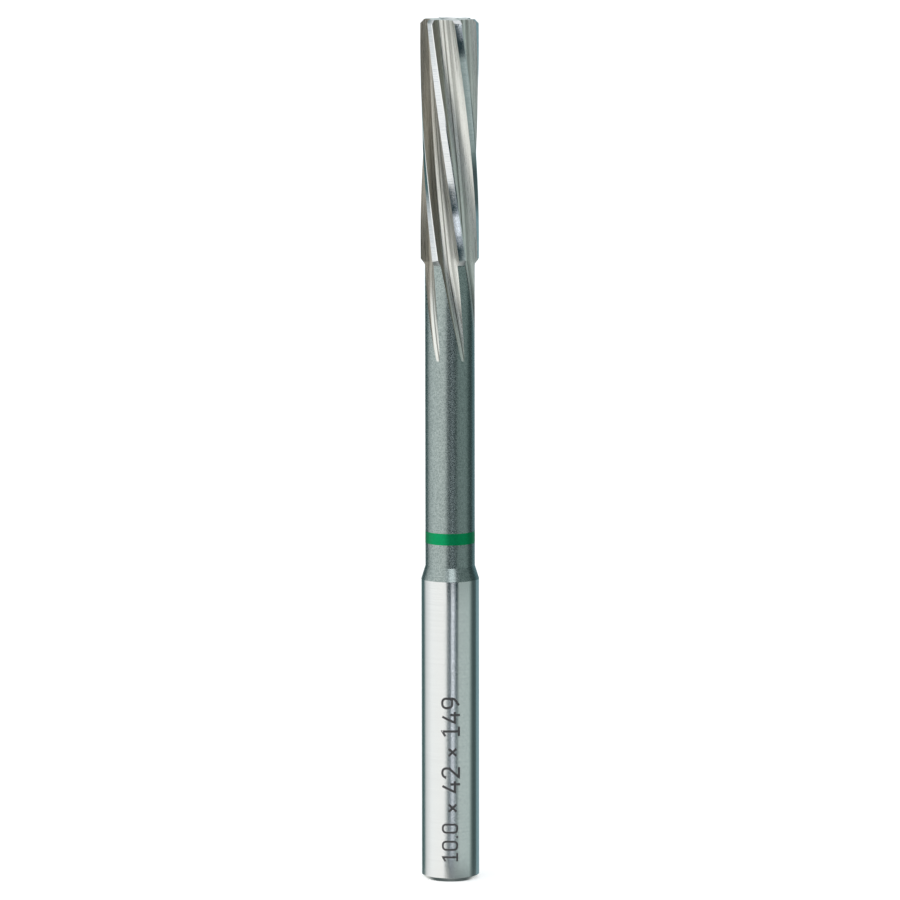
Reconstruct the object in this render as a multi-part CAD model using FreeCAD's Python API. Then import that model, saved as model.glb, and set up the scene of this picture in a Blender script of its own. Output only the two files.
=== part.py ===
import FreeCAD, Part
import math
import os

# Machine reamer with a cylindrical shank, ground from one bar of high-speed steel.
# Millimetres, +Z up.  The origin is the middle of the shank's end face and the
# cutting end points up.  Seen from -Y, the flutes lean over to the left as they rise:
# a left-hand helix with a right-hand cut.

# Driving dimensions
overall_length = 149.0
cutting_diameter = 10.0
cutting_length = 42.0          # from the tip to where the lands meet the neck
lead_bevel = 0.7               # 45 degree cutting lead at the tip
rear_bevel_length = 1.0        # slope that joins the lands to the neck
neck_diameter = 8.55
shank_diameter = 10.0
shank_length = 52.5            # cylinder, end chamfer included
shank_end_chamfer = 0.7
shoulder_length = 2.3          # cone between shank and neck
shoulder_blend = 0.6           # fillet between cone and neck
rear_blend = 0.5               # fillet between the lands' rear bevel and the neck

# Teeth: the spacing is uneven on purpose, which stops chatter
tooth_pitches = (60.0, 58.0, 62.0, 60.0, 58.0, 62.0)
first_tooth_azimuth = -245.5   # first cutting edge at the tip, from +X
helix_lead = 205.0             # one turn, left-hand
land_angle = 15.3              # cutting edge to heel
margin_angle = 2.3             # circular margin behind the cutting edge
heel_drop = 0.20               # how far the heel lies under the cutting circle

# Flutes
core_radius = 3.16
root_fillet = 0.5              # between the rake face and the flute's floor
root_fall_angle = 19.0         # slope of the floor where it leaves the root fillet
runout_length = 16.9           # from the end of full depth to the tip of the run-out
runout_linear_share = 0.46     # the rest of the lift-out grows with the square
runout_overshoot = 1.25        # the grinding wheel's path goes on this far past the tip
runout_drift = 10.0            # how far the lift-out strays from the helix, in degrees
lift_angle = 24.0              # direction in which a flute leaves, from its rake face
cutter_clearance = 2.0         # how far the cutting solids reach past the body

# Centre holes, 60 degrees, for grinding between centres
centre_pilot_diameter = 1.6
centre_mouth_diameter = 3.35
centre_pilot_depth = 2.0       # below the cone
centre_half_angle = 30.0
pilot_tip_half_angle = 59.0

sections_along_lands = 10
sections_along_runout = 9
same_place = 1e-6
cut_tolerance = 1e-4           # lets the cuts cross the blank's seam at any length

cutting_radius = cutting_diameter / 2
neck_radius = neck_diameter / 2
shank_radius = shank_diameter / 2
lands_base = overall_length - cutting_length
mean_pitch = sum(tooth_pitches) / len(tooth_pitches)


def vec(x, y, z=0.0):
    return FreeCAD.Vector(x, y, z)


def polar(radius, angle):
    """A point at a distance and an angle in degrees from the rake direction, +Y."""
    turn = math.radians(angle)
    return vec(radius * math.sin(turn), radius * math.cos(turn))


def revolve(points):
    """Solid of revolution about Z from (radius, height) corners."""
    corners = [vec(radius, 0, height) for radius, height in points]
    face = Part.Face(Part.makePolygon(corners + corners[:1]))
    return face.revolve(vec(0, 0, 0), vec(0, 0, 1), 360)


def fillet_ring(solid, ring_radius, height, blend):
    """Round the circular edge that lies at one radius and height."""
    rings = []
    for edge in solid.Edges:
        box = edge.BoundBox
        level = box.ZLength < same_place and abs(box.ZMin - height) < same_place
        if level and abs(box.XMax - ring_radius) < same_place:
            rings.append(edge)
    return solid.makeFillet(blend, rings)


def turned_blank():
    """Shank, shoulder, neck and the blank of the cutting end, as turned."""
    shoulder_top = shank_length + shoulder_length
    blank = revolve([
        (0, 0),
        (shank_radius - shank_end_chamfer, 0),
        (shank_radius, shank_end_chamfer),
        (shank_radius, shank_length),
        (neck_radius, shoulder_top),
        (neck_radius, lands_base),
        (cutting_radius, lands_base + rear_bevel_length),
        (cutting_radius, overall_length - lead_bevel),
        (cutting_radius - lead_bevel, overall_length),
        (0, overall_length),
    ])
    blank = fillet_ring(blank, neck_radius, shoulder_top, shoulder_blend)
    return fillet_ring(blank, neck_radius, lands_base, rear_blend)


def floor_circle():
    """Centre and radius of the flute's floor, in the frame of its rake face.

    The floor leaves the root fillet on a falling slope, passes its lowest point at
    the core radius and rises to the heel of a tooth at the mean pitch.  The radius
    is found by halving an interval between the root fillet and a nearly flat floor.
    """
    heel = polar(cutting_radius - heel_drop, mean_pitch - land_angle)
    fall = math.radians(root_fall_angle)
    low, high = root_fillet, 4 * cutting_radius
    for _ in range(60):
        radius = (low + high) / 2
        centre_x = root_fillet + (radius - root_fillet) * math.sin(fall)
        centre_y = math.sqrt((core_radius + radius) ** 2 - centre_x ** 2)
        if math.hypot(heel.x - centre_x, heel.y - centre_y) > radius:
            low = radius
        else:
            high = radius
    return vec(centre_x, centre_y), radius


def flute_section(pitch, floor_centre, floor_radius):
    """Closed outline that one flute and the relief of the next tooth take away."""
    outer_radius = cutting_radius + cutter_clearance
    fall = math.radians(root_fall_angle)
    normal = vec(math.sin(fall), math.cos(fall))
    floor_start = floor_centre - normal * floor_radius
    fillet_centre = floor_start + normal * root_fillet
    rake_foot = vec(0, fillet_centre.y)
    bisector = (rake_foot - fillet_centre) + (floor_start - fillet_centre)
    fillet_middle = fillet_centre + bisector.normalize() * root_fillet
    spread = (pitch - land_angle) / (mean_pitch - land_angle)
    low_angle = math.degrees(math.atan2(floor_centre.x, floor_centre.y)) * spread
    heel = polar(cutting_radius - heel_drop, pitch - land_angle)
    margin_foot = polar(cutting_radius, pitch - margin_angle)
    margin_out = polar(outer_radius, pitch - margin_angle)
    rake_out = vec(0, outer_radius)
    return [
        Part.LineSegment(rake_out, rake_foot).toShape(),
        Part.Arc(rake_foot, fillet_middle, floor_start).toShape(),
        Part.Arc(floor_start, polar(core_radius, low_angle), heel).toShape(),
        Part.LineSegment(heel, margin_foot).toShape(),
        Part.LineSegment(margin_foot, margin_out).toShape(),
        Part.Arc(margin_out, polar(outer_radius, pitch / 2), rake_out).toShape(),
    ]


def place_section(edges, azimuth, height, lift, drift):
    """The outline at one height, turned with the helix and lifted out of the bar.

    The outline is mirrored first, because the teeth are counted anticlockwise
    seen from the tip and its angles run clockwise.
    """
    twist = azimuth - 90 + (overall_length - height) * 360 / helix_lead + drift
    turn = FreeCAD.Rotation(vec(0, 0, 1), twist)
    placement = FreeCAD.Placement(vec(0, 0, height), turn)
    placed = []
    for edge in edges:
        moved = edge.translated(polar(lift, lift_angle))
        moved = moved.mirror(vec(0, 0, 0), vec(1, 0, 0))
        moved.Placement = placement.multiply(moved.Placement)
        placed.append(moved)
    return Part.Wire(placed)


def flute_cutters(azimuth, edges):
    """Two lofted solids: the flute at full depth, and its run-out into the neck."""
    top = overall_length + cutter_clearance
    full_depth_end = lands_base + rear_blend
    full_depth = neck_radius - core_radius
    lands = []
    for step in range(sections_along_lands):
        way = step / (sections_along_lands - 1)
        height = full_depth_end + (top - full_depth_end) * way
        lands.append(place_section(edges, azimuth, height, 0, 0))
    runout = []
    for step in range(sections_along_runout):
        gone = runout_overshoot * step / (sections_along_runout - 1)
        left = 1 - gone
        square_share = (1 - runout_linear_share) * left * abs(left)
        depth = full_depth * (runout_linear_share * left + square_share)
        height = full_depth_end - gone * runout_length
        lift = full_depth - depth
        runout.append(place_section(edges, azimuth, height, lift, gone * runout_drift))
    return Part.makeLoft(lands, True), Part.makeLoft(runout, True)


def centre_hole(height, direction):
    """60 degree centre hole with its pilot, sunk from an end face."""
    mouth_radius = centre_mouth_diameter / 2
    pilot_radius = centre_pilot_diameter / 2
    cone_depth = (mouth_radius - pilot_radius) / math.tan(math.radians(centre_half_angle))
    tip_depth = pilot_radius / math.tan(math.radians(pilot_tip_half_angle))
    reach = cone_depth + centre_pilot_depth
    return revolve([
        (0, height),
        (mouth_radius, height),
        (pilot_radius, height + direction * cone_depth),
        (pilot_radius, height + direction * reach),
        (0, height + direction * (reach + tip_depth)),
    ])


def reamer():
    """The whole tool: the turned blank less its flutes and centre holes."""
    solid = turned_blank()
    floor_centre, floor_radius = floor_circle()
    azimuth = first_tooth_azimuth
    for pitch in tooth_pitches:
        edges = flute_section(pitch, floor_centre, floor_radius)
        for cutter in flute_cutters(azimuth, edges):
            solid = solid.cut(cutter, cut_tolerance)
        azimuth += pitch
    solid = solid.cut(centre_hole(0, 1))
    return solid.cut(centre_hole(overall_length, -1))


os.makedirs("parts", exist_ok=True)
body = reamer()
print("solids", len(body.Solids), "valid", body.isValid(), "volume", round(body.Volume, 1))
body.exportStep("parts/reamer_body.step")
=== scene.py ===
import math

import bmesh
import bpy
from mathutils import Matrix, Vector


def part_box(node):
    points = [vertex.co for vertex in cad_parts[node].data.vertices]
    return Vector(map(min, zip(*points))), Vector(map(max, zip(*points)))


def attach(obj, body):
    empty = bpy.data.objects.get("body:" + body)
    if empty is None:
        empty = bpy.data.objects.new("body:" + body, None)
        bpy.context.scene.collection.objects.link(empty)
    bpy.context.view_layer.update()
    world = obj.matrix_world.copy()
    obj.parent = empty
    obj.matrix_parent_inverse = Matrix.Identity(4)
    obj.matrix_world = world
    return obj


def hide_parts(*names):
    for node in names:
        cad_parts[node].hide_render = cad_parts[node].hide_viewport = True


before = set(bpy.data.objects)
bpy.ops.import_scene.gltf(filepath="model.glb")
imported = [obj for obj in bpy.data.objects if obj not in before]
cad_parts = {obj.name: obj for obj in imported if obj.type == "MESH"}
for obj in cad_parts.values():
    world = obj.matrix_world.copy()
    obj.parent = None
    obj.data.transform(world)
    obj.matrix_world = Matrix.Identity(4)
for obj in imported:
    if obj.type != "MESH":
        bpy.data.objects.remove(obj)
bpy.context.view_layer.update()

cad_low, cad_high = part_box("reamer_body")


# ---------------------------------------------------------------------------
# The bar: one piece of high-speed steel.  The shank, the shoulder and the neck
# are turned; the six flutes are ground in afterwards and run out into the neck.
# Sizes are in millimetres from the shank's end face, as on a workshop drawing.

mm = 0.001
bar_length = (cad_high.z - cad_low.z) / mm
cutting_radius = 5.0
shank_radius = 4.994            # a marking's thickness under the tolerance
neck_radius = 4.275
lands_start = 107.0
shank_top = 52.5
shoulder_top = 54.8
end_chamfer = 0.7
rear_bevel = 1.0

tooth_pitches = (60.0, 58.0, 62.0, 60.0, 58.0, 62.0)
mean_pitch = 60.0
first_cutting_edge = -245.5     # degrees from +X, at the tip
helix_lead = 205.0              # one turn, left-hand
land_angle = 15.3               # cutting edge to heel
margin_angle = 2.3
heel_drop = 0.20                # how far the heel lies under the cutting circle
core_radius = 3.16
root_fillet = 0.5               # between the rake face and the flute's floor
root_fall = math.radians(19.0)  # slope of the floor where it leaves the fillet
wheel_overhang = 2              # how far the wheel's outline reaches past the bar
wheel_lift_angle = 24.0
full_depth_end = 107.5
runout_length = 16.9
runout_linear_share = 0.46      # the rest of the lift-out grows with the square
runout_drift = 10.0             # how far the lift-out strays from the helix, in degrees
runout_tip = full_depth_end - runout_length
blasted_blend = 0.12            # of the blend under the lands; the bevel above is turned

rake_steps = 6                  # points round one tooth, part by part
root_steps = 6
floor_steps = 20
relief_steps = 5
round_steps = 16
flute_steps = rake_steps + root_steps + floor_steps
steps_per_tooth = flute_steps + relief_steps + round_steps
rounding_steps = 5              # along each rounded corner of a contour or a stroke
outline_samples = 50            # on each of the four parts of the wheel's outline
search_steps = 40               # the same, while looking for its deepest place
whole_way = 5                   # the outline's four parts, then the margin
map_spacing = 37                # between two teeth on the map that the marks follow

hole_mouth = 1.675              # centre holes, as radii and a depth
hole_edge = 0.04                # the mouth's edge, broken by this much over a depth
hole_edge_depth = 0.07
hole_pilot = 0.8
hole_pilot_depth = 2.0
hole_cone = math.radians(30)
drill_point = math.radians(59)
hole_segments = 64

FLUTE, LAND, MARGIN, NECK, SHANK, FACED = range(6)


def rounded_profile(corners):
    """Points of a contour from its corners, each of which carries its own rounding."""
    points = []
    for number, (radius, height, rounding) in enumerate(corners):
        here = Vector((radius, height))
        if rounding == 0 or number in (0, len(corners) - 1):
            points.append(here)
            continue
        before = Vector(corners[number - 1][:2]) - here
        after = Vector(corners[number + 1][:2]) - here
        opening = before.angle(after)
        tangent = rounding / math.tan(opening / 2)
        bisector = (before.normalized() + after.normalized()).normalized()
        centre = here + bisector * rounding / math.sin(opening / 2)
        first = here + before.normalized() * tangent - centre
        last = here + after.normalized() * tangent - centre
        for step in range(rounding_steps + 1):
            spoke = first.lerp(last, step / rounding_steps).normalized() * rounding
            points.append(centre + spoke)
    return points


turned_profile = rounded_profile([
    (cutting_radius - end_chamfer, bar_length, 0),
    (cutting_radius, bar_length - end_chamfer, 0.03),
    (cutting_radius, lands_start + rear_bevel, 0.06),
    (neck_radius, lands_start, 0.5),
    (neck_radius, shoulder_top, 0.6),
    (shank_radius, shank_top, 0.12),
    (shank_radius, end_chamfer, 0.08),
    (shank_radius - end_chamfer, 0.0, 0),
])


def turned_radius(height):
    """Radius of the turned bar at a height."""
    for upper, lower in zip(turned_profile, turned_profile[1:]):
        if lower.y <= height <= upper.y and upper.y > lower.y:
            share = (height - lower.y) / (upper.y - lower.y)
            return lower.x + (upper.x - lower.x) * share
    return turned_profile[0].x if height > turned_profile[0].y else turned_profile[-1].x


def at_angle(radius, degrees):
    """A point of the flute's section; angles run from the rake face to the next tooth."""
    turn = math.radians(degrees)
    return Vector((radius * math.sin(turn), radius * math.cos(turn)))


def circle_through(first, middle, last):
    """Centre of the circle through three points."""
    a = middle - first
    b = last - first
    double_area = 2 * (a.x * b.y - a.y * b.x)
    x = (b.y * a.length_squared - a.y * b.length_squared) / double_area
    y = (a.x * b.length_squared - b.x * a.length_squared) / double_area
    return first + Vector((x, y))


def floor_circle():
    """Centre and radius of a flute's floor at the mean pitch, found by halving."""
    heel = at_angle(cutting_radius - heel_drop, mean_pitch - land_angle)
    low, high = root_fillet, 4 * cutting_radius
    for _ in range(60):
        radius = (low + high) / 2
        x = root_fillet + (radius - root_fillet) * math.sin(root_fall)
        y = math.sqrt((core_radius + radius) ** 2 - x * x)
        if (heel - Vector((x, y))).length > radius:
            low = radius
        else:
            high = radius
    return Vector((x, y)), radius


floor_centre, floor_radius = floor_circle()


class FluteSection:
    """The grinding wheel's outline for one flute, and the relief of the next tooth.

    The way along it counts 0 to 1 down the rake face, to 2 round the root, to 3
    across the floor to the heel, and to 4 over the relief to the margin.
    """

    def __init__(self, pitch):
        fall = Vector((math.sin(root_fall), math.cos(root_fall)))
        self.pitch = pitch
        self.floor_start = floor_centre - fall * floor_radius
        self.root_centre = self.floor_start + fall * root_fillet
        self.heel = at_angle(cutting_radius - heel_drop, pitch - land_angle)
        self.margin_foot = at_angle(cutting_radius, pitch - margin_angle)
        spread = (pitch - land_angle) / (mean_pitch - land_angle)
        low_angle = math.degrees(math.atan2(floor_centre.x, floor_centre.y)) * spread
        lowest = at_angle(core_radius, low_angle)
        self.centre = circle_through(self.floor_start, lowest, self.heel)
        samples = range(4 * outline_samples + 1)
        outline = [self.point(sample / outline_samples) for sample in samples]
        self.run = [0.0]
        for one, two in zip(outline, outline[1:]):
            self.run.append(self.run[-1] + (two - one).length)

    def point(self, way):
        if way <= 1:
            top = cutting_radius + wheel_overhang
            return Vector((0, top - (top - self.root_centre.y) * way))
        if way <= 2:
            turn = math.radians(180 + (way - 1) * (90 - math.degrees(root_fall)))
            return self.root_centre + Vector((math.cos(turn), math.sin(turn))) * root_fillet
        if way <= 3:
            first = self.floor_start - self.centre
            last = self.heel - self.centre
            sweep = first.angle(last) * (way - 2)
            return self.centre + Matrix.Rotation(sweep, 2) @ first
        return self.heel.lerp(self.margin_foot, way - 3)

    def ground_length(self, way):
        """Length along the outline, the same for every height the wheel passes."""
        place = min(way * outline_samples, 4 * outline_samples - 0.001)
        low = int(place)
        return self.run[low] + (self.run[low + 1] - self.run[low]) * (place - low)

    def reach(self, lift, radius):
        """Where the lifted wheel enters and leaves a bar of this radius."""
        def over(way):
            return (self.point(way) + lift).length - radius
        tried = [step / search_steps for step in range(20, 150)]
        clearance, deepest = min((over(way), way) for way in tried)
        if clearance >= 0:
            return deepest, deepest
        ways = []
        for outer in (0.0, 4.0):
            inside = deepest
            if over(outer) <= 0:
                ways.append(outer)
                continue
            for _ in range(40):
                middle = (inside + outer) / 2
                if over(middle) < 0:
                    inside = middle
                else:
                    outer = middle
            ways.append((inside + outer) / 2)
        return ways[0], ways[1]


def wheel_lift(height):
    """How far the wheel has been drawn out of the bar at a height."""
    gone = max(0.0, (full_depth_end - height) / runout_length)
    left = 1 - gone
    full_depth = neck_radius - core_radius
    square_share = (1 - runout_linear_share) * left * abs(left)
    depth = full_depth * (runout_linear_share * left + square_share)
    return at_angle(full_depth - depth, wheel_lift_angle)


def tooth_row(section, height):
    """One tooth at one height: its points down to where the wheel leaves, and that place."""
    lift = wheel_lift(height)
    radius = turned_radius(height)
    enters, leaves = section.reach(lift, radius)
    ways = []
    for step in range(rake_steps):
        ways.append(enters + (max(1, enters) - enters) * step / rake_steps)
    for step in range(root_steps):
        ways.append(1 + step / root_steps)
    floor_end = min(leaves, 3)
    for step in range(floor_steps):
        ways.append(2 + max(0, floor_end - 2) * step / floor_steps)
    for step in range(relief_steps):
        ways.append(min(leaves, 3) + max(0, leaves - 3) * step / relief_steps)
    row = []
    for way in ways:
        way = min(max(way, enters), leaves)
        place = section.point(way) + lift
        angle = math.degrees(math.atan2(place.x, place.y))
        row.append((min(place.length, radius), angle, section.ground_length(way), way))
    last = section.point(leaves) + lift
    leave_angle = math.degrees(math.atan2(last.x, last.y))
    return row, leave_angle, section.ground_length(leaves), leaves, radius


tooth_sections = [FluteSection(pitch) for pitch in tooth_pitches]


def straight_bar():
    """The bar with its flutes still straight, as rows of points from tip to shank.

    Rows lie closest where the contour or the depth of the flutes changes.
    """
    heights = [bar_length - 0.1 * step for step in range(7)]
    heights += [bar_length - end_chamfer - 0.6 * step for step in range(1, 67)]
    heights += [point.y for point in turned_profile]
    heights += [lands_start + 0.1 * step for step in range(1, 10)]
    heights += [full_depth_end - 0.38 * step for step in range(1, 45)]
    heights += [runout_tip, runout_tip - 0.15]
    heights += [shoulder_top + 3.5 * step for step in range(1, 10)]
    heights += [shank_top - 5.2 * step for step in range(1, 10)]
    ordered = sorted(set(round(height, 5) for height in heights), reverse=True)
    kept = [ordered[0]]
    for height in ordered[1:]:
        if kept[-1] - height > 0.004:
            kept.append(height)
    kept[-1] = 0.0

    points = []
    ground = []
    for height in kept:
        row_points = []
        row_ground = []
        teeth = [tooth_row(section, height) for section in tooth_sections]
        azimuth = first_cutting_edge
        for number, section in enumerate(tooth_sections):
            row, leave_angle, leave_length, leaves, radius = teeth[number]
            next_row = teeth[(number + 1) % len(teeth)][0]
            following = next_row[0][1] + section.pitch
            for step in range(round_steps + 1):
                share = step / round_steps
                angle = leave_angle + (following - leave_angle) * share
                length = leave_length + math.radians(angle - leave_angle) * radius
                row.append((radius, angle, length, leaves + (whole_way - leaves) * share))
            for radius_here, angle, _, _ in row[:-1]:
                turn = math.radians(azimuth + angle)
                x = math.cos(turn) * radius_here
                y = math.sin(turn) * radius_here
                row_points.append(Vector((x, y, height)) * mm)
            row_ground.append([(length, way) for _, _, length, way in row])
            azimuth += section.pitch
        points.append(row_points)
        ground.append(row_ground)
    return kept, points, ground


def zone_of(step, height):
    """Which finish a face has, from its step round the tooth and its height."""
    if end_chamfer < height < shank_top:
        return SHANK
    if height < end_chamfer:
        return FACED
    if step < flute_steps and height > runout_tip:
        return FLUTE
    if height > bar_length - end_chamfer:
        return FACED
    if height > lands_start + rear_bevel:
        return MARGIN if step >= flute_steps + relief_steps else LAND
    return FACED if height > lands_start + blasted_blend else NECK


def centre_hole_points(end_height, inward):
    """Rings of a 60 degree centre hole, from its mouth to the drill point."""
    cone = (hole_mouth - hole_pilot) / math.tan(hole_cone)
    pilot_end = cone + hole_pilot_depth
    floor = pilot_end + hole_pilot / math.tan(drill_point)
    rings = []
    for radius, depth in (
        (hole_mouth, 0),
        (hole_mouth - hole_edge, hole_edge_depth),
        (hole_pilot, cone),
        (hole_pilot, pilot_end),
    ):
        ring = []
        for segment in range(hole_segments):
            turn = 2 * math.pi * segment / hole_segments
            height = end_height + inward * depth
            ring.append(Vector((math.cos(turn) * radius, math.sin(turn) * radius, height)) * mm)
        rings.append(ring)
    return rings, Vector((0, 0, end_height + inward * floor)) * mm


def close_end(shell, zone, end_height, inward):
    """Sinks a centre hole into an end of the bar, and fills the face round its mouth."""
    rings, point = centre_hole_points(end_height, inward)
    ring_verts = [[shell.verts.new(place) for place in ring] for ring in rings]
    tip = shell.verts.new(point)
    faces = []
    for segment in range(hole_segments):
        after = (segment + 1) % hole_segments
        for one, two in zip(ring_verts, ring_verts[1:]):
            face = shell.faces.new((one[segment], one[after], two[after], two[segment]))
            face.smooth = True
            faces.append(face)
        faces.append(shell.faces.new((ring_verts[-1][segment], ring_verts[-1][after], tip)))
    rim = []
    for edge in shell.edges:
        level = all(abs(vert.co.z - end_height * mm) < 1e-7 for vert in edge.verts)
        if level and len(edge.link_faces) == 1:
            rim.append(edge)
    filled = bmesh.ops.triangle_fill(shell, use_beauty=True, edges=rim)["geom"]
    faces += [part for part in filled if isinstance(part, bmesh.types.BMFace)]
    for face in faces:
        face[zone] = FACED


def build_bar_mesh():
    """The straight bar as a closed mesh, with its zones and the maps for its marks."""
    heights, points, ground = straight_bar()
    shell = bmesh.new()
    zone = shell.faces.layers.int.new("zone")
    ground_map = shell.loops.layers.uv.new("ground_direction")
    wheel_map = shell.loops.layers.uv.new("wheel_outline")
    rows = [[shell.verts.new(place) for place in row] for row in points]
    around = steps_per_tooth * len(tooth_pitches)
    for level in range(len(rows) - 1):
        middle = (heights[level] + heights[level + 1]) / 2
        for column in range(around):
            tooth, step = divmod(column, steps_per_tooth)
            following = (column + 1) % around
            corners = (
                (level, column, step), (level + 1, column, step),
                (level + 1, following, step + 1), (level, following, step + 1),
            )
            face = shell.faces.new([rows[row][place] for row, place, _ in corners])
            face[zone] = zone_of(step, middle)
            face.smooth = True
            for loop, (row, _, count) in zip(face.loops, corners):
                length, way = ground[row][tooth][count]
                loop[ground_map].uv = (length + tooth * map_spacing, heights[row])
                loop[wheel_map].uv = (way / whole_way, heights[row])
    bmesh.ops.remove_doubles(shell, verts=shell.verts, dist=2e-7)
    bmesh.ops.dissolve_degenerate(shell, edges=shell.edges, dist=1e-7)
    close_end(shell, zone, heights[0], -1)
    close_end(shell, zone, 0.0, 1)
    bmesh.ops.recalc_face_normals(shell, faces=shell.faces)
    mesh = bpy.data.meshes.new("reamer_bar")
    shell.to_mesh(mesh)
    shell.free()
    return mesh


# -- finishes of the bar --------------------------------------------------------


def added(tree, kind, inputs=None, **settings):
    """A new node's outputs.  Its settings come first; then each input is linked or set."""
    node = tree.nodes.new(kind)
    for name, value in settings.items():
        setattr(node, name, value)
    for socket, value in (inputs or {}).items():
        if isinstance(value, bpy.types.NodeSocket):
            tree.links.new(value, node.inputs[socket])
        else:
            node.inputs[socket].default_value = value
    return node.outputs


def maths(tree, operation, one, two=0.0, clamp=False):
    return added(
        tree, "ShaderNodeMath", {0: one, 1: two}, operation=operation, use_clamp=clamp)[0]


def blend(tree, share, one, two, kind="MIX"):
    """From one colour to the other by a share, or the two multiplied."""
    inputs = {0: share, 6: one, 7: two}
    return added(tree, "ShaderNodeMix", inputs, data_type="RGBA", blend_type=kind)[2]


def toned(tree, value, stops, steps="LINEAR"):
    """The colour that a value picks from (position, colour) stops."""
    ramp = tree.nodes.new("ShaderNodeValToRGB")
    ramp.color_ramp.interpolation = steps
    first, last = ramp.color_ramp.elements
    for element, (position, colour) in ((first, stops[0]), (last, stops[-1])):
        element.position = position
        element.color = (*colour, 1)
    for position, colour in stops[1:-1]:
        ramp.color_ramp.elements.new(position).color = (*colour, 1)
    tree.links.new(value, ramp.inputs["Fac"])
    return ramp.outputs["Color"]


def grinding_marks():
    """Grinding or blasting marks: a tone and a height, longer one way than the other."""
    tree = bpy.data.node_groups.new("grinding_marks", "ShaderNodeTree")
    for name, way, kind in (
        ("Place", "INPUT", "NodeSocketVector"),
        ("Marks each way", "INPUT", "NodeSocketVector"),
        ("Detail", "INPUT", "NodeSocketFloat"),
        ("Contrast", "INPUT", "NodeSocketFloat"),
        ("Tone", "OUTPUT", "NodeSocketFloat"),
        ("Height", "OUTPUT", "NodeSocketFloat"),
    ):
        tree.interface.new_socket(name=name, in_out=way, socket_type=kind)
    given = added(tree, "NodeGroupInput")
    stretched = added(tree, "ShaderNodeVectorMath", {
        0: given["Place"], 1: given["Marks each way"]}, operation="MULTIPLY")
    noise = added(tree, "ShaderNodeTexNoise", {
        "Vector": stretched[0], "Scale": 1.0, "Detail": given["Detail"], "Roughness": 0.6})
    from_middle = maths(tree, "SUBTRACT", noise["Fac"], 0.5)
    gained = maths(tree, "MULTIPLY", from_middle, given["Contrast"])
    tone = maths(tree, "ADD", gained, 0.5, clamp=True)
    added(tree, "NodeGroupOutput", {"Tone": tone, "Height": noise["Fac"]})
    return tree


marks_group = grinding_marks()


class Finish:
    """A metal finish whose tones, roughness and bumps all come from grinding marks."""

    def __init__(self, name, metallic=1.0, roughness=0.3):
        self.material = bpy.data.materials.new(name)
        self.material.use_nodes = True
        self.tree = self.material.node_tree
        self.tree.nodes.clear()
        self.shader = self.tree.nodes.new("ShaderNodeBsdfPrincipled")
        self.shader.inputs["Metallic"].default_value = metallic
        self.shader.inputs["Roughness"].default_value = roughness
        added(self.tree, "ShaderNodeOutputMaterial", {0: self.shader.outputs[0]})

    def feed(self, name, value):
        self.tree.links.new(value, self.shader.inputs[name])

    def on_map(self, name):
        return added(self.tree, "ShaderNodeUVMap", uv_map=name)["UV"]

    def on_the_bar(self):
        return added(self.tree, "ShaderNodeTexCoord")["Object"]

    def marks(self, place, each_way, detail, contrast):
        """The tone and the height of one set of marks."""
        inputs = {
            "Place": place, "Marks each way": each_way, "Detail": detail, "Contrast": contrast}
        group = added(self.tree, "ShaderNodeGroup", inputs, node_tree=marks_group)
        return group["Tone"], group["Height"]

    def brushed(self, strength, turned):
        """Grinding lines spread a reflection across themselves, not along."""
        tangent = added(
            self.tree, "ShaderNodeTangent", direction_type="UV_MAP", uv_map="ground_direction")
        self.feed("Tangent", tangent[0])
        self.shader.inputs["Anisotropic"].default_value = strength
        self.shader.inputs["Anisotropic Rotation"].default_value = turned

    def tones(self, value, stops, steps="LINEAR"):
        return toned(self.tree, value, stops, steps)

    def times(self, one, two):
        return blend(self.tree, 1.0, one, two, "MULTIPLY")

    def rough(self, value, low, high):
        """Roughness from low to high, as the marks' tone goes from 0 to 1."""
        inputs = {"Value": value, "To Min": low, "To Max": high}
        self.feed("Roughness", added(self.tree, "ShaderNodeMapRange", inputs)["Result"])

    def bumps(self, *layers):
        """Each layer is the height of some marks, and their depth in metres."""
        inputs = {}
        for height, depth in layers:
            inputs.update({"Height": height, "Distance": depth})
            normal = added(self.tree, "ShaderNodeBump", inputs)["Normal"]
            inputs = {"Normal": normal}
        self.feed("Normal", normal)


# Flutes: ground along the helix with a shaped wheel, left bright and streaked.  The
# rake faces carry a brown tint and a painted shade that differs tooth by tooth, and the
# floor carries a painted dark line of shade past the root fillet and a painted duller band of
# reflection across its middle.
flute_finish = Finish("ground_flute", metallic=0.84)
flute_finish.brushed(0.55, 0.0)
along = flute_finish.on_map("ground_direction")
broad, broad_height = flute_finish.marks(along, (3.4, 0.03, 1), 4.0, 2.6)
fine, fine_height = flute_finish.marks(along, (8.5, 0.13, 1), 3.0, 3.0)
plain, shiny = (0.91, 0.91, 0.885), (0.97, 0.97, 0.95)
broad_tone = flute_finish.tones(broad, (
    (0.0, (0.52, 0.515, 0.49)), (0.45, plain), (1.0, shiny)))
fine_tone = flute_finish.tones(fine, (
    (0.0, (0.30, 0.295, 0.28)), (0.45, plain), (1.0, shiny)))
streaks = blend(flute_finish.tree, 0.5, broad_tone, fine_tone)

outline_way = added(flute_finish.tree, "ShaderNodeSeparateXYZ", {
    0: flute_finish.on_map("wheel_outline")})["X"]
clean, painted_root_shade = (1.0, 1.0, 0.98), (0.34, 0.34, 0.32)
# Painted shade and reflection: a dark line where the floor leaves the root fillet, and a duller
# band across the middle of the floor.
root_shade_and_floor_band = flute_finish.tones(outline_way, (
    (0.0, clean), (0.40, clean), (0.428, (0.98, 0.98, 0.96)), (0.434, painted_root_shade),
    (0.443, painted_root_shade), (0.449, clean), (0.470, clean), (0.482, (0.55, 0.555, 0.535)),
    (0.505, (0.60, 0.605, 0.585)), (0.525, clean), (1.0, clean)))
streaks_and_painted_shade = flute_finish.times(streaks, root_shade_and_floor_band)

# Painted shade on the rake faces: a brown tint, darkened by a different amount on each tooth as
# shade falls on it.
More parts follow.
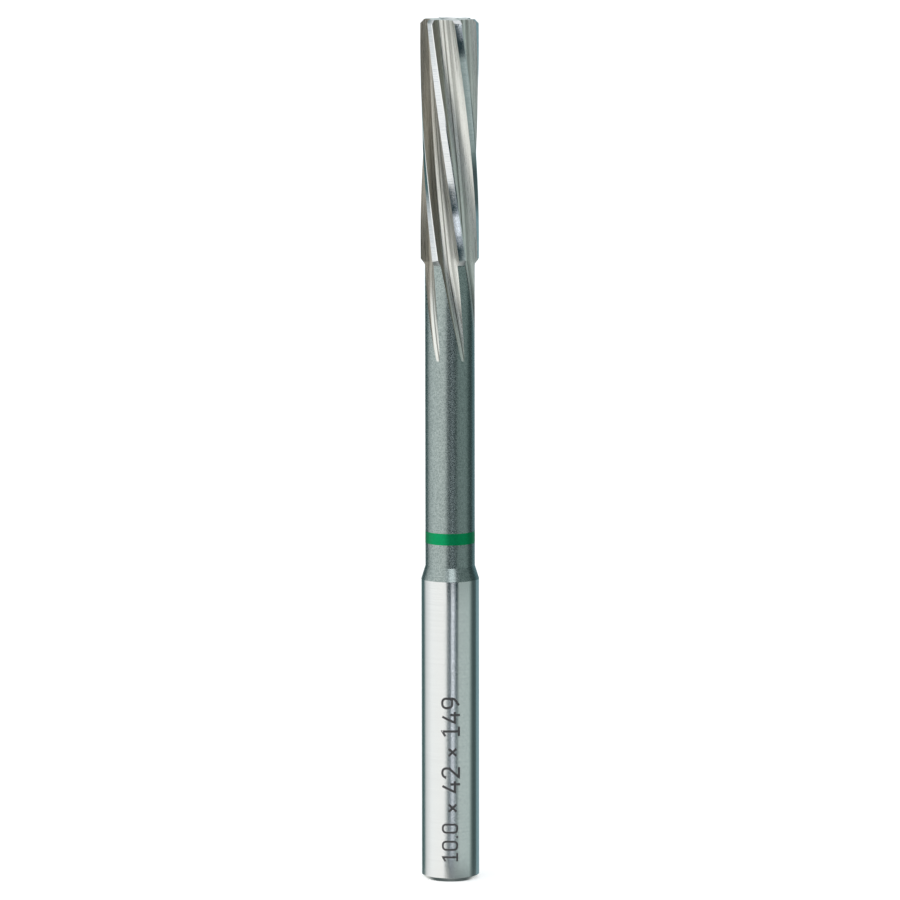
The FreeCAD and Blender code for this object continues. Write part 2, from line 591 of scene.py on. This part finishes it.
tooth_share = added(flute_finish.tree, "ShaderNodeVectorMath", {
    0: along, 1: (1 / (map_spacing * len(tooth_pitches)), 0, 0)}, operation="MULTIPLY")
rake_tint_and_shade = flute_finish.tones(tooth_share[0], (
    (0.0, (0.40, 0.37, 0.33)), (0.10, (0.62, 0.59, 0.54)), (0.27, (0.18, 0.16, 0.135)),
    (0.43, (0.50, 0.47, 0.43)), (0.60, (0.34, 0.31, 0.28)), (0.77, (0.46, 0.43, 0.39)),
), "CONSTANT")
on_rake = flute_finish.tones(outline_way, (
    (0.0, (1, 1, 1)), (0.31, (1, 1, 1)), (0.35, (0.5, 0.5, 0.5)), (0.40, (0, 0, 0))))
tinted_and_shaded_rake = flute_finish.times(streaks_and_painted_shade, rake_tint_and_shade)
flute_finish.feed("Base Color", blend(flute_finish.tree, on_rake, streaks_and_painted_shade, tinted_and_shaded_rake))
flute_finish.rough(fine, 0.24, 0.34)
flute_finish.bumps((broad_height, 0.000012), (fine_height, 0.000006))

# Lands: ground round the tool, so the fine marks cross the tooth.
land_finish = Finish("ground_land")
land_finish.brushed(0.5, 0.25)
along = land_finish.on_map("ground_direction")
cross, cross_height = land_finish.marks(along, (0.35, 16.0, 1), 2.0, 2.4)
speckle, speckle_height = land_finish.marks(along, (5.0, 9.0, 1), 2.0, 2.4)
land_finish.feed("Base Color", land_finish.tones(cross, (
    (0.0, (0.62, 0.65, 0.68)), (0.55, (0.80, 0.815, 0.83)), (1.0, (0.88, 0.885, 0.89)))))
land_finish.rough(speckle, 0.08, 0.13)
land_finish.bumps((cross_height, 0.0000012), (speckle_height, 0.0000018))

# Margins: the narrow cylinder behind each cutting edge, honed last; their lighter colour is a
# painted highlight along each cutting edge.
margin_finish = Finish("honed_margin", roughness=0.14)
along = margin_finish.on_map("ground_direction")
hone, hone_height = margin_finish.marks(along, (0.6, 12.0, 1), 2.0, 2.0)
margin_finish.feed("Base Color", margin_finish.tones(hone, (
    (0.0, (0.86, 0.87, 0.87)), (1.0, (0.93, 0.935, 0.935)))))
margin_finish.bumps((hone_height, 0.000002))

# Neck and shoulder: left matt and grainy from blasting after hardening.
neck_finish = Finish("blasted_neck")
on_bar = neck_finish.on_the_bar()
grain, grain_height = neck_finish.marks(on_bar, (4200, 4200, 4200), 3.0, 3.6)
blotches, _ = neck_finish.marks(on_bar, (1500, 1500, 1200), 3.0, 2.2)
grain_tone = neck_finish.tones(grain, (
    (0.0, (0.20, 0.245, 0.24)), (0.5, (0.345, 0.405, 0.395)), (1.0, (0.50, 0.565, 0.555))))
blotch_tone = neck_finish.tones(blotches, (
    (0.0, (0.30, 0.35, 0.345)), (1.0, (0.42, 0.48, 0.475))))
neck_finish.feed("Base Color", blend(neck_finish.tree, 0.35, grain_tone, blotch_tone))
neck_finish.rough(grain, 0.24, 0.31)
neck_finish.bumps((grain_height, 0.000009))

# Shank: cylindrically ground to size, with very fine rings from the wheel.
shank_finish = Finish("ground_shank")
shank_finish.brushed(0.2, 0.25)
on_bar = shank_finish.on_the_bar()
rings, rings_height = shank_finish.marks(on_bar, (60, 60, 9000), 2.0, 2.0)
rub, rub_height = shank_finish.marks(on_bar, (2600, 2600, 2600), 3.0, 2.4)
shank_finish.feed("Base Color", shank_finish.tones(rings, (
    (0.0, (0.765, 0.77, 0.77)), (1.0, (0.825, 0.83, 0.83)))))
shank_finish.rough(rub, 0.11, 0.18)
shank_finish.bumps((rings_height, 0.0000008), (rub_height, 0.0000022))

# Chamfers, bevels, end faces and centre holes: faced and countersunk on the lathe.
faced_finish = Finish("turned_face", roughness=0.28)
on_bar = faced_finish.on_the_bar()
tool_rings, ring_height = faced_finish.marks(on_bar, (1500, 1500, 3000), 3.0, 2.0)
faced_finish.feed("Base Color", faced_finish.tones(tool_rings, (
    (0.0, (0.60, 0.62, 0.62)), (1.0, (0.86, 0.87, 0.865)))))
faced_finish.bumps((ring_height, 0.000006))

bar_finishes = (
    flute_finish, land_finish, margin_finish, neck_finish, shank_finish, faced_finish)


# -- winding the flutes ------------------------------------------------------------


def geometry_tree(name, start, sizes, result):
    """A tree that takes a geometry and some named sizes, and gives a geometry back."""
    tree = bpy.data.node_groups.new(name, "GeometryNodeTree")
    tree.interface.new_socket(name=start, in_out="INPUT", socket_type="NodeSocketGeometry")
    for label, size in sizes.items():
        socket = tree.interface.new_socket(
            name=label, in_out="INPUT", socket_type="NodeSocketFloat")
        socket.default_value = size
    tree.interface.new_socket(name=result, in_out="OUTPUT", socket_type="NodeSocketGeometry")
    return tree, added(tree, "NodeGroupInput")


winding_sizes = {
    "Tip height": bar_length * mm,
    "Lead": helix_lead * mm,
    "Run-out start": full_depth_end * mm,
    "Run-out length": runout_length * mm,
    "Run-out drift": math.radians(runout_drift),
}


def winding_tree():
    """Winds the straight flutes left-handed round the axis, from the tip downwards."""
    tree, given = geometry_tree("wind_the_flutes", "Bar", winding_sizes, "Tool")
    position = added(tree, "GeometryNodeInputPosition")[0]
    height = added(tree, "ShaderNodeSeparateXYZ", {0: position})["Z"]
    under_start = maths(tree, "SUBTRACT", given["Run-out start"], height)
    gone = maths(tree, "DIVIDE", under_start, given["Run-out length"], clamp=True)
    drift = maths(tree, "MULTIPLY", gone, given["Run-out drift"])
    runout_end = maths(tree, "SUBTRACT", given["Run-out start"], given["Run-out length"])
    wound_height = maths(tree, "MAXIMUM", height, runout_end)
    under_tip = maths(tree, "SUBTRACT", given["Tip height"], wound_height)
    turns = maths(tree, "DIVIDE", under_tip, given["Lead"])
    helix = maths(tree, "MULTIPLY", turns, 2 * math.pi)
    angle = maths(tree, "ADD", helix, drift)
    turned = added(tree, "ShaderNodeVectorRotate", {
        "Vector": position, "Angle": angle}, rotation_type="Z_AXIS")
    wound = added(tree, "GeometryNodeSetPosition", {
        "Geometry": given["Bar"], "Position": turned[0]})
    shaped = added(tree, "GeometryNodeRealizeInstances", {0: wound[0]})[0]
    zone = added(tree, "GeometryNodeInputNamedAttribute", {"Name": "zone"}, data_type="INT")
    for number, finish in enumerate(bar_finishes):
        same = added(tree, "FunctionNodeCompare", {
            2: zone["Attribute"], 3: number}, data_type="INT", operation="EQUAL")
        shaped = added(tree, "GeometryNodeSetMaterial", {
            "Geometry": shaped, "Selection": same[0], "Material": finish.material})[0]
    added(tree, "NodeGroupOutput", {"Tool": shaped})
    return tree


def made_by_tree(name, start_mesh, tree, sizes):
    """Runs a geometry tree with its inputs set and keeps the result as a plain mesh."""
    piece = bpy.data.objects.new(name, start_mesh)
    bpy.context.scene.collection.objects.link(piece)
    modifier = piece.modifiers.new(tree.name, "NODES")
    modifier.node_group = tree
    for item in tree.interface.items_tree:
        if item.item_type == "SOCKET" and item.in_out == "INPUT" and item.name in sizes:
            modifier[item.identifier] = sizes[item.name]
    bpy.context.view_layer.update()
    evaluated = piece.evaluated_get(bpy.context.evaluated_depsgraph_get())
    result = bpy.data.meshes.new_from_object(evaluated)
    piece.modifiers.remove(modifier)
    piece.data = result
    result.name = name
    return piece


def crisp_edges(piece, degrees):
    """Smooth shading that stops at the ground edges."""
    piece.data.shade_smooth()
    piece.data.set_sharp_from_angle(angle=math.radians(degrees))


def crisp_between(piece, zones):
    """A ground edge too shallow for the angle test stays crisp between two zones."""
    shell = bmesh.new()
    shell.from_mesh(piece.data)
    zone = shell.faces.layers.int["zone"]
    for edge in shell.edges:
        if {face[zone] for face in edge.link_faces} == zones:
            edge.smooth = False
    shell.to_mesh(piece.data)
    shell.free()


bar = made_by_tree("reamer_bar", build_bar_mesh(), winding_tree(), winding_sizes)
crisp_edges(bar, 22)
crisp_between(bar, {LAND, MARGIN})
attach(bar, "root")
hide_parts("reamer_body")


# ---------------------------------------------------------------------------
# Colour ring: a thin band of green paint rolled onto the neck above the
# shoulder, so the tool can be told from the others in a drawer.

ring_low = 58.8
ring_high = 60.8
ring_paint = 0.012
ring_sizes = {
    "Neck radius": neck_radius * mm,
    "Paint": ring_paint * mm,
    "Width": (ring_high - ring_low) * mm,
    "Middle height": (ring_high + ring_low) / 2 * mm,
}

ring_finish = Finish("green_paint", metallic=0.68, roughness=0.34)
ring_finish.shader.inputs["Specular IOR Level"].default_value = 0.2
on_bar = ring_finish.on_the_bar()
grain, grain_height = ring_finish.marks(on_bar, (3500, 3500, 3500), 3.0, 2.0)
ring_finish.feed("Base Color", ring_finish.tones(grain, (
    (0.0, (0.002, 0.30, 0.105)), (1.0, (0.003, 0.38, 0.14)))))
ring_finish.bumps((grain_height, 0.000008))


def ring_tree():
    """A flat band swept round the neck."""
    tree, given = geometry_tree("roll_the_ring", "Start", ring_sizes, "Ring")
    path = added(tree, "GeometryNodeCurvePrimitiveCircle", {
        "Resolution": 160, "Radius": given["Neck radius"]})
    section = added(tree, "GeometryNodeCurvePrimitiveQuadrilateral", {
        "Width": maths(tree, "MULTIPLY", given["Paint"], 2.0), "Height": given["Width"]})
    band = added(tree, "GeometryNodeCurveToMesh", {
        "Curve": path["Curve"], "Profile Curve": section["Curve"]})
    up = added(tree, "ShaderNodeCombineXYZ", {"Z": given["Middle height"]})
    raised = added(tree, "GeometryNodeSetPosition", {"Geometry": band[0], "Offset": up[0]})
    whole = added(tree, "GeometryNodeRealizeInstances", {0: raised[0]})
    painted = added(tree, "GeometryNodeSetMaterial", {
        "Geometry": whole[0], "Material": ring_finish.material})
    added(tree, "NodeGroupOutput", {"Ring": painted[0]})
    return tree


def face_outwards(piece):
    """Joins the band's seam and turns its faces outwards."""
    shell = bmesh.new()
    shell.from_mesh(piece.data)
    bmesh.ops.remove_doubles(shell, verts=shell.verts, dist=1e-8)
    bmesh.ops.recalc_face_normals(shell, faces=shell.faces)
    shell.to_mesh(piece.data)
    shell.free()


ring = made_by_tree("colour_ring", bpy.data.meshes.new("colour_ring"), ring_tree(), ring_sizes)
face_outwards(ring)
crisp_edges(ring, 30)
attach(ring, "root")


# ---------------------------------------------------------------------------
# Size marks: dark figures burnt into the shank, one after another from the end
# upwards: the reamed diameter, the cutting length and the overall length.

# Text, height up the shank where it starts, figures' height, baseline in degrees.
size_marks = (
    ("10.0", 3.5, 2.85, 15.4),
    ("x 42 x 149", 12.3, 3.3, 19.5),
)
mark_thickness = 0.004
stroke_weight = 0.122           # this and the gap are parts of the figures' height
figure_gap = 0.14
sharpest_mitre = 0.6            # sharper corners are cut back
point_spacing = 0.2             # along the strokes, so they bend round the shank

mark_finish = Finish("burnt_mark", metallic=0.0, roughness=0.5)
on_bar = mark_finish.on_the_bar()
soot, _ = mark_finish.marks(on_bar, (2500, 2500, 2500), 3.0, 2.0)
mark_finish.feed("Base Color", mark_finish.tones(soot, (
    (0.0, (0.060, 0.058, 0.060)), (1.0, (0.105, 0.10, 0.102)))))

# Each figure: its width, then the engraver's strokes as (across, up, rounding),
# all as parts of the figure's height.
side = stroke_weight / 2
figures = {
    "0": (0.62, [[(0.31, side, 0), (0.62 - side, side, 0.2), (0.62 - side, 1 - side, 0.2),
                  (side, 1 - side, 0.2), (side, side, 0.2), (0.31, side, 0)]]),
    "1": (0.58, [[(0.07, 0.78, 0), (0.32, 1 - side, 0), (0.32, side, 0)],
                 [(0.07, side, 0), (0.57, side, 0)]]),
    "2": (0.60, [[(side, 0.74, 0), (side, 1 - side, 0.2), (0.60 - side, 1 - side, 0.2),
                  (0.60 - side, 0.58, 0.2), (side, side, 0), (0.60, side, 0)]]),
    "4": (0.64, [[(0.38, 1 - side, 0), (side, 0.28, 0), (0.64, 0.28, 0)],
                 [(0.47, 0.52, 0), (0.47, 0.0, 0)]]),
    "9": (0.62, [[(0.31, 0.42, 0), (0.62 - side, 0.42, 0.16), (0.62 - side, 1 - side, 0.2),
                  (side, 1 - side, 0.2), (side, 0.42, 0.2), (0.31, 0.42, 0)],
                 [(0.62 - side, 0.74, 0), (0.62 - side, 0.30, 0.2), (0.20, side, 0)]]),
    "x": (0.46, [[(0.04, 0.20, 0), (0.42, 0.60, 0)], [(0.04, 0.60, 0), (0.42, 0.20, 0)]]),
    ".": (0.16, [[(0.02, side, 0), (0.02 + stroke_weight, side, 0)]]),
    " ": (0.28, []),
}


def finely_spaced(points, spacing):
    """The same way along, with no two points further apart than a spacing."""
    spaced = [points[0]]
    for one, two in zip(points, points[1:]):
        count = max(1, math.ceil((two - one).length / spacing))
        for step in range(1, count + 1):
            spaced.append(one.lerp(two, step / count))
    return spaced


def add_stroke(shell, points, weight, thickness):
    """A flat ribbon along a stroke; a stroke that ends where it starts is a loop."""
    loop = (points[-1] - points[0]).length < 1e-9
    if loop:
        points = points[:-1]
    rings = []
    for number, point in enumerate(points):
        before = points[number - 1] if loop or number else point
        after = points[(number + 1) % len(points)] if loop or point is not points[-1] else point
        heading = (after - before).normalized()
        one = (point - before).normalized() if loop or number else heading
        slant = max(sharpest_mitre, heading.dot(one))
        aside = Vector((-heading.y, heading.x)) * weight / 2 / slant
        ring = []
        for offset, height in ((aside, 0), (-aside, 0), (-aside, thickness), (aside, thickness)):
            ring.append(shell.verts.new((point.x + offset.x, point.y + offset.y, height)))
        rings.append(ring)
    followers = rings[1:] + rings[:1] if loop else rings[1:]
    for one, two in zip(rings, followers):
        for corner in range(4):
            after = (corner + 1) % 4
            shell.faces.new((one[corner], one[after], two[after], two[corner]))
    if not loop:
        shell.faces.new(rings[0])
        shell.faces.new(rings[-1][::-1])


def flat_marks():
    """All figures laid flat: read along X, round the shank along Y, proud along Z."""
    shell = bmesh.new()
    for text, start, height, baseline in size_marks:
        across = start
        foot = -math.radians(baseline) * shank_radius
        for figure in text:
            width, strokes = figures[figure]
            for corners in strokes:
                sized = [
                    (across + x * height, foot + y * height, rounding * height)
                    for x, y, rounding in corners
                ]
                points = finely_spaced(rounded_profile(sized), point_spacing)
                points = [point * mm for point in points]
                add_stroke(shell, points, stroke_weight * height * mm, mark_thickness * mm)
            across += (width + figure_gap) * height
    bmesh.ops.recalc_face_normals(shell, faces=shell.faces)
    mesh = bpy.data.meshes.new("size_marks")
    shell.to_mesh(mesh)
    shell.free()
    return mesh


marking_sizes = {"Shank radius": shank_radius * mm}


def marking_tree():
    """Lays a flat row of figures round the shank, reading upwards."""
    tree, given = geometry_tree("wrap_the_marks", "Flat marks", marking_sizes, "Marks")
    position = added(tree, "GeometryNodeInputPosition")
    flat = added(tree, "ShaderNodeSeparateXYZ", {0: position[0]})
    along_arc = maths(tree, "DIVIDE", flat["Y"], given["Shank radius"])
    angle = maths(tree, "MULTIPLY", along_arc, -1.0)
    radius = maths(tree, "ADD", given["Shank radius"], flat["Z"])
    across = maths(tree, "MULTIPLY", radius, maths(tree, "SINE", angle))
    deep = maths(tree, "MULTIPLY", radius, maths(tree, "COSINE", angle))
    place = added(tree, "ShaderNodeCombineXYZ", {
        "X": across, "Y": maths(tree, "MULTIPLY", deep, -1.0), "Z": flat["X"]})
    wrapped = added(tree, "GeometryNodeSetPosition", {
        "Geometry": given["Flat marks"], "Position": place[0]})
    whole = added(tree, "GeometryNodeRealizeInstances", {0: wrapped[0]})
    burnt_in = added(tree, "GeometryNodeSetMaterial", {
        "Geometry": whole[0], "Material": mark_finish.material})
    added(tree, "NodeGroupOutput", {"Marks": burnt_in[0]})
    return tree


marks = made_by_tree("size_marks", flat_marks(), marking_tree(), marking_sizes)
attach(marks, "root")


# ---------------------------------------------------------------------------
# Floor: a wide plain white table.  Metal on it mirrors the lights round it,
# so the floor lets mirrored rays through; it keeps the tool's shadow.

table_reach = 12.0
table_glow = 0.55               # what the camera sees besides the light it is lit by

floor_mesh = bpy.data.meshes.new("floor")
table_corners = [
    (side_x * table_reach, side_y * table_reach, 0)
    for side_x, side_y in ((-1, -1), (1, -1), (1, 1), (-1, 1))
]
floor_mesh.from_pydata(table_corners, [], [(0, 1, 2, 3)])
floor = bpy.data.objects.new("floor", floor_mesh)
bpy.context.scene.collection.objects.link(floor)
floor_paint = bpy.data.materials.new("white_table")
floor_paint.use_nodes = True
table = floor_paint.node_tree
table.nodes.clear()
seen = added(table, "ShaderNodeLightPath")
matt = added(table, "ShaderNodeBsdfDiffuse", {"Color": (0.80, 0.80, 0.80, 1)})
glow = added(table, "ShaderNodeEmission", {"Color": (1, 1, 1, 1), "Strength": table_glow})
lifted = added(table, "ShaderNodeAddShader", {0: matt[0], 1: glow[0]})
both = added(table, "ShaderNodeMixShader", {
    0: seen["Is Camera Ray"], 1: matt[0], 2: lifted[0]})
clear = added(table, "ShaderNodeBsdfTransparent")
through = added(table, "ShaderNodeMixShader", {
    0: seen["Is Glossy Ray"], 1: both[0], 2: clear[0]})
added(table, "ShaderNodeOutputMaterial", {0: through[0]})
floor_mesh.materials.append(floor_paint)


# ---------------------------------------------------------------------------
# Studio light, all as the world round the tool: a large softbox on the left, grey
# cards on the right, strip lamps and black flags by the camera, and a white bench
# below.  Bearings are degrees to the right of the front.

studio = bpy.data.worlds.new("studio")
bpy.context.scene.world = studio
studio.use_nodes = True
room = studio.node_tree
room.nodes.clear()
ray = added(room, "ShaderNodeSeparateXYZ", {
    0: added(room, "ShaderNodeTexCoord")["Generated"]})
front = maths(room, "MULTIPLY", ray["Y"], -1.0)
bearing = maths(room, "ARCTAN2", ray["X"], front)

# Standing cards are cut off above and below; only the softbox and the flags are tall.
softbox_side = (
    (-180, (0.62, 0.70, 0.70)),
    (-162, (0.66, 0.74, 0.74)),
    (-153, (0.05, 0.10, 0.105)),
    (-128, (0.09, 0.16, 0.16)),
    (-112, (0.70, 0.74, 0.74)),
    (-80, (1.02, 1.05, 1.04)),
    (-20, (1.04, 1.05, 1.02)),
    (-11, (0.80, 0.86, 0.88)),
)
back_card = (
    (164, (0.22, 0.34, 0.37)),
    (171, (0.62, 0.70, 0.70)),
)
tall_lights = (
    *softbox_side,
    (-7, (0.03, 0.05, 0.055)),
    (32, (0.03, 0.05, 0.055)),
    (45, (0.25, 0.31, 0.30)),
    (85, (0.22, 0.28, 0.27)),
    (100, (0.05, 0.075, 0.075)),
    (122, (0.06, 0.10, 0.10)),
    (132, (0.18, 0.30, 0.33)),
    *back_card,
)
standing_cards = (
    *softbox_side,
    (-8, (0.035, 0.07, 0.08)),
    (28, (0.04, 0.075, 0.09)),
    (31, (0.56, 0.65, 0.63)),
    (80, (0.52, 0.62, 0.60)),
    (92, (0.16, 0.22, 0.21)),
    (102, (0.06, 0.09, 0.09)),
    (122, (0.07, 0.11, 0.11)),
    (132, (0.20, 0.33, 0.36)),
    *back_card,
)
white_bench = (
    (-180, (0.88, 0.89, 0.86)),
    (-120, (0.88, 0.89, 0.86)),
    (-100, (1.02, 1.03, 1.01)),
    (-25, (1.02, 1.02, 0.99)),
    (-12, (0.60, 0.61, 0.59)),
    (0, (0.24, 0.26, 0.26)),
    (34, (0.15, 0.18, 0.18)),
    (60, (0.16, 0.20, 0.20)),
    (110, (0.12, 0.16, 0.16)),
    (140, (0.45, 0.48, 0.47)),
    (160, (0.88, 0.89, 0.86)),
)
room_top = (0.95, 0.97, 1.0, 1)
bench_front = (0.60, 0.62, 0.61, 1)
bench_back = (0.06, 0.085, 0.085, 1)

# The strip and the flags by the camera lean: they stand nearest at one height.
kink_height = -0.155
lean_below_kink = -5.9
lean_above_kink = 2.5
lean_reach = 0.056              # how far above the kink the lean goes on
lean_at_kink = -0.14
land_lean = 0.105

# Heights on the room's sphere run from -1, straight down, to 1, straight up.  Each
# change goes softly from the first to the second.
card_tops = (0.10, -0.02)
bench_edge = (-0.235, -0.270)
land_level = (-0.108, -0.100)
ceiling = (0.62, 0.85)
bench_below = (-0.55, -0.80)
behind_tool = (-0.05, 0.15)


def ring_of_lights(share, stops):
    """Lights all round, by their bearings; the last one fades into the first."""
    round_trip = [((degrees + 180) / 360, colour) for degrees, colour in stops]
    return toned(room, share, [*round_trip, (1.0, stops[0][1])])


def faded(value, start, end, most=1.0):
    """0 to most, as a value goes from start to end, soft at both."""
    inputs = {"Value": value, "From Min": start, "From Max": end, "To Max": most}
    return added(room, "ShaderNodeMapRange", inputs, interpolation_type="SMOOTHSTEP")[0]


def soft_patch(value, middle, half, blur):
    """1 inside a band round a middle value, fading out over a blur."""
    off = maths(room, "ABSOLUTE", maths(room, "SUBTRACT", value, middle))
    return faded(off, half + blur, half)


over_kink = maths(room, "SUBTRACT", ray["Z"], kink_height)
low_lean = maths(room, "MULTIPLY", maths(room, "MINIMUM", over_kink, 0.0), lean_below_kink)
in_reach = maths(room, "MAXIMUM", maths(room, "MINIMUM", over_kink, lean_reach), 0.0)
high_lean = maths(room, "MULTIPLY", in_reach, lean_above_kink)
from_kink = maths(room, "ADD", maths(room, "ADD", low_lean, high_lean), lean_at_kink)
# It dies away 60 degrees from the front.
towards_front = maths(room, "COSINE", maths(room, "MULTIPLY", bearing, 90 / 60))
near_front = maths(room, "MAXIMUM", towards_front, 0.0)
in_front = maths(room, "GREATER_THAN", front, 0.0)
lean = maths(room, "MULTIPLY", maths(room, "MULTIPLY", from_kink, near_front), in_front)
at_land_level = faded(ray["Z"], *land_level, most=land_lean)
lean = maths(room, "ADD", lean, maths(room, "MULTIPLY", at_land_level, near_front))
leaning = maths(room, "ADD", bearing, lean)
leaning_share = added(room, "ShaderNodeMapRange", {
    "Value": leaning, "From Min": -math.pi, "From Max": math.pi})[0]
bench_share = maths(room, "MULTIPLY", maths(room, "ADD", bearing, math.pi), 0.5 / math.pi)

lights = blend(
    room, faded(ray["Z"], *card_tops),
    ring_of_lights(leaning_share, tall_lights), ring_of_lights(leaning_share, standing_cards))
lights = blend(
    room, faded(ray["Z"], *bench_edge), lights, ring_of_lights(bench_share, white_bench))

# Cards, flags and lamps that stand in front of these, the nearest last: the bearing
# they follow; middle, half width and blur in degrees; the same as a height; colour.
lands_card = (bearing, (36, 18, 3), (-0.076, 0.026, 0.006), (0.50, 0.58, 0.60))
neck_card = (bearing, (58, 30, 4), (-0.0065, 0.1315, 0.008), (0.27, 0.34, 0.325))
neck_flag = (bearing, (9.5, 20.5, 6), (-0.0155, 0.1315, 0.008), (0.012, 0.028, 0.032))
strip = (leaning, (10, 5.5, 2.5), (-0.180, 0.034, 0.010), (0.86, 0.94, 1.02))
upper_strip = (bearing, (9.5, 5, 2.5), (-0.149, 0.011, 0.003), (1.9, 2.0, 2.1))
spot = (bearing, (8, 10, 10), (0.46, 0.12, 0.06), (2.1, 2.15, 2.2))
for turn, across, up, colour in (
    lands_card, neck_card, neck_flag, strip, upper_strip, spot,
):
    inside = maths(
        room, "MULTIPLY",
        soft_patch(turn, *[math.radians(degrees) for degrees in across]),
        soft_patch(ray["Z"], *up))
    lights = blend(room, inside, lights, (*colour, 1))

lights = blend(room, faded(ray["Z"], *ceiling), lights, room_top)
bench_top = blend(room, faded(ray["Y"], *behind_tool), bench_front, bench_back)
lights = blend(room, faded(ray["Z"], *bench_below), lights, bench_top)
lit_room = added(room, "ShaderNodeBackground", {"Color": lights})
backdrop = added(room, "ShaderNodeBackground", {"Color": (1, 1, 1, 1)})
camera_ray = added(room, "ShaderNodeLightPath")["Is Camera Ray"]
chosen = added(room, "ShaderNodeMixShader", {0: camera_ray, 1: lit_room[0], 2: backdrop[0]})
added(room, "ShaderNodeOutputWorld", {"Surface": chosen[0]})


# ---------------------------------------------------------------------------
# Camera: a long lens, a little above the middle of the standing tool.

lens = bpy.data.cameras.new("camera")
lens.lens = 246.2
lens.sensor_width = 36
camera = bpy.data.objects.new("camera", lens)
bpy.context.scene.collection.objects.link(camera)
camera.location = (0, -1.050, 0.217)
aim = Vector((0, 0, 0.0748)) - camera.location
roll = Matrix.Rotation(math.radians(-0.07), 4, "Z")
camera.rotation_euler = (aim.to_track_quat("-Z", "Y").to_matrix().to_4x4() @ roll).to_euler()
bpy.context.scene.camera = camera
bpy.context.scene.view_settings.view_transform = "Standard"
